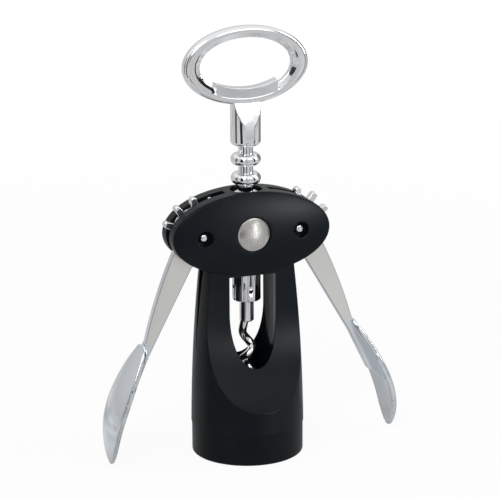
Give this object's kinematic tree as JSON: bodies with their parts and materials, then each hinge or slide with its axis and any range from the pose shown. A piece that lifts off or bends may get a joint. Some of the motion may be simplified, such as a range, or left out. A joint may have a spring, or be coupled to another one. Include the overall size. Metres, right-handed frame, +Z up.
{
  "type": "wing corkscrew",
  "caption": "Wing corkscrew: moulded bell with side arms geared to a ringed rack, a worm inside, and an oval handle with a bottle opener's lip.",
  "frame": {"origin": "centre of the bottle socket's mouth, on the underside of the base collar", "axes": "+Z up along the worm and the rack; the front faces -Y; the arms swing in the XZ plane"},
  "size_m": [0.1155, 0.0424, 0.163],
  "materials": {
    "black_plastic": "satin, softly moulded",
    "chrome": "polished plating; the flats of the arms are satin",
    "satin_nickel": "brushed",
    "pin_steel": "polished"
  },
  "bodies": {
    "body": {"body_frame": "black_plastic", "base_collar": "black_plastic", "left_pivot_pin": "pin_steel", "right_pivot_pin": "pin_steel", "front_button": "satin_nickel", "rear_button": "satin_nickel"},
    "left_arm": {"left_lever": "chrome"},
    "right_arm": {"right_lever": "chrome"},
    "ringed_rack": {"rack": "chrome"},
    "handle_and_worm": {"handle": "chrome", "worm": "chrome"}
  },
  "joints": [
    {"name": "left_arm_pivot", "type": "hinge", "parent": "body", "child": "left_arm", "pos_m": [-0.0188, 0, 0.0861], "axis": [0, 1, 0], "range_deg": [-16, 116]},
    {"name": "right_arm_pivot", "type": "hinge", "parent": "body", "child": "right_arm", "pos_m": [0.0188, 0, 0.0861], "axis": [0, 1, 0], "range_deg": [-116, 16]},
    {"name": "rack_slide", "type": "slide", "parent": "body", "child": "ringed_rack", "axis": [0, 0, 1], "range_m": [-0.02785, 0.00385]},
    {"name": "handle_turn", "type": "hinge", "parent": "ringed_rack", "child": "handle_and_worm", "pos_m": [0, 0, 0.12], "axis": [0, 0, 1], "continuous": true}
  ],
  "couplings": [
    {"joint": "right_arm_pivot", "follows": "left_arm_pivot", "ratio": -1},
    {"joint": "rack_slide", "follows": "left_arm_pivot", "m_per_rad": -0.013751}
  ]
}
